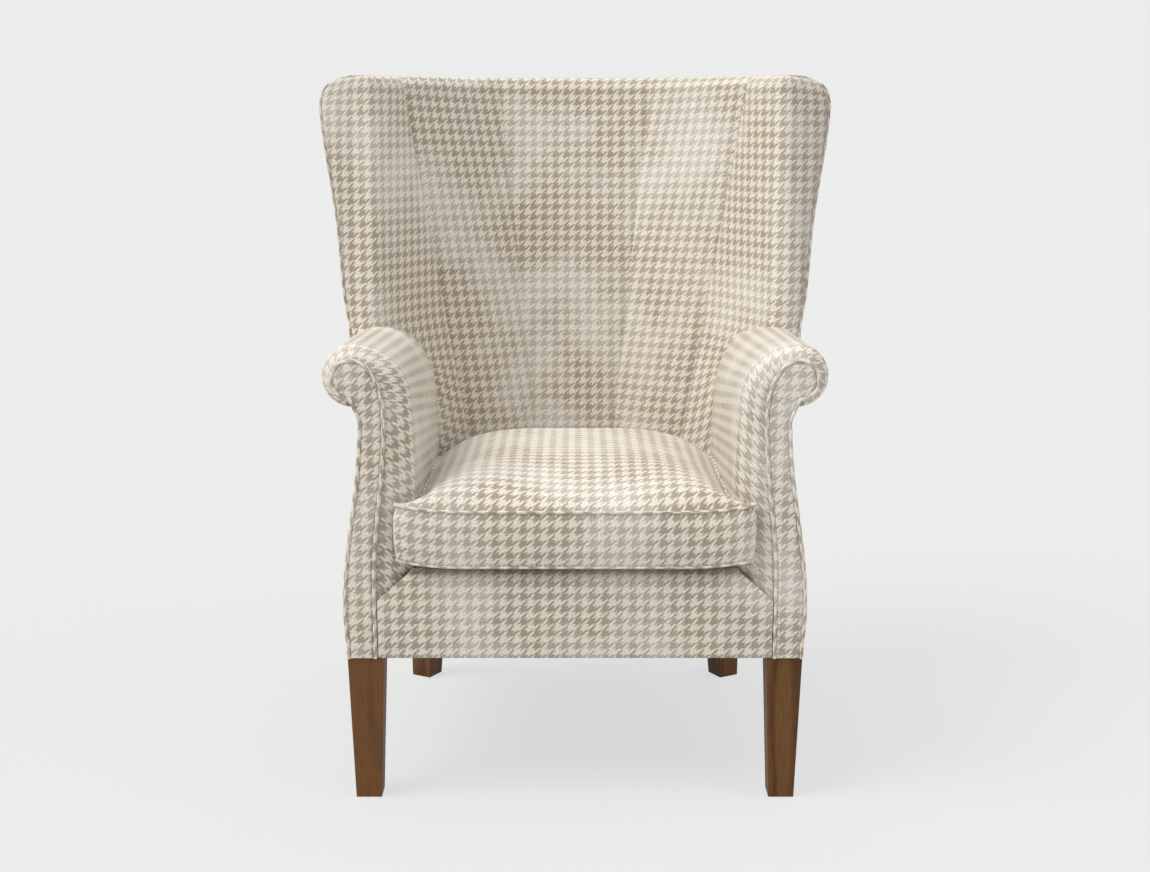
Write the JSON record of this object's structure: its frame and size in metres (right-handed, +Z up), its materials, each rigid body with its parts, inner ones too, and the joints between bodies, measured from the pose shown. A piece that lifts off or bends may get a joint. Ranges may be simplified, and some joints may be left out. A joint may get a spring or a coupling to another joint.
{
  "type": "wingback armchair",
  "caption": "Barrel-backed wing armchair in houndstooth wool with rolled arms, a loose boxed seat cushion and square tapered wooden legs.",
  "frame": {"origin": "on the floor under the middle of the chair's bounding box", "axes": "+Z up, +X to the right of someone looking at the chair from the front, the front faces -Y"},
  "size_m": [0.8378, 0.776, 1.05],
  "materials": {
    "houndstooth_wool": "woven houndstooth in cream and taupe",
    "walnut_stained_oak": "walnut stain under satin lacquer",
    "plain_beech": "planed, no finish",
    "pale_foam": "upholstery foam and wadding, matt",
    "bright_steel": "bright zinc",
    "black_cloth": "matt woven tape and spun cloth",
    "jute_web": "coarse woven webbing"
  },
  "bodies": {
    "chair": {"front_leg_right": "walnut_stained_oak", "front_leg_left": "walnut_stained_oak", "rear_leg_right": "walnut_stained_oak", "rear_leg_left": "walnut_stained_oak", "front_rail": "plain_beech", "side_rail_right": "plain_beech", "side_rail_left": "plain_beech", "rear_rail": "plain_beech", "front_corner_block_right": "plain_beech", "front_corner_block_left": "plain_beech", "rear_corner_block_right": "plain_beech", "rear_corner_block_left": "plain_beech", "arm_post_right": "plain_beech", "arm_post_left": "plain_beech", "arm_rail_right": "plain_beech", "arm_rail_left": "plain_beech", "back_post_right": "plain_beech", "back_post_left": "plain_beech", "wing_post_right": "plain_beech", "wing_post_left": "plain_beech", "lower_back_rail": "plain_beech", "crest_rail": "plain_beech", "front_leg_bolt_right": "bright_steel", "front_leg_bolt_left": "bright_steel", "rear_leg_bolt_right": "bright_steel", "rear_leg_bolt_left": "bright_steel", "seat_spring_1": "bright_steel", "seat_spring_2": "bright_steel", "seat_spring_3": "bright_steel", "seat_spring_4": "bright_steel", "back_strap_1": "jute_web", "back_strap_2": "jute_web", "back_pad": "pale_foam", "wing_pad_right": "pale_foam", "wing_pad_left": "pale_foam", "arm_pad_right": "pale_foam", "arm_pad_left": "pale_foam", "deck_pad": "pale_foam", "front_edge_roll": "pale_foam", "dust_cover": "black_cloth", "inside_back_cover": "houndstooth_wool", "wing_cover_right": "houndstooth_wool", "wing_cover_left": "houndstooth_wool", "outside_back_cover": "houndstooth_wool", "outside_side_cover_right": "houndstooth_wool", "outside_side_cover_left": "houndstooth_wool", "arm_cover_right": "houndstooth_wool", "arm_cover_left": "houndstooth_wool", "facing_right": "houndstooth_wool", "facing_left": "houndstooth_wool", "facing_piping_right": "houndstooth_wool", "facing_piping_left": "houndstooth_wool", "front_border": "houndstooth_wool"},
    "seat_cushion": {"cushion_filling": "pale_foam", "cushion_top_panel": "houndstooth_wool", "cushion_border": "houndstooth_wool", "cushion_bottom_panel": "houndstooth_wool", "cushion_top_piping": "houndstooth_wool", "cushion_zip": "black_cloth"},
    "zip_slider": {"zip_slider": "bright_steel"}
  },
  "joints": [
    {"name": "seat_cushion_lift", "type": "slide", "parent": "chair", "child": "seat_cushion", "axis": [0, 0, 1], "range_m": [0, 0.75]},
    {"name": "zip_slider_run", "type": "hinge", "parent": "seat_cushion", "child": "zip_slider", "pos_m": [0, -0.1702, 0.392], "axis": [0, 0, -1], "range_deg": [0, 66]}
  ]
}
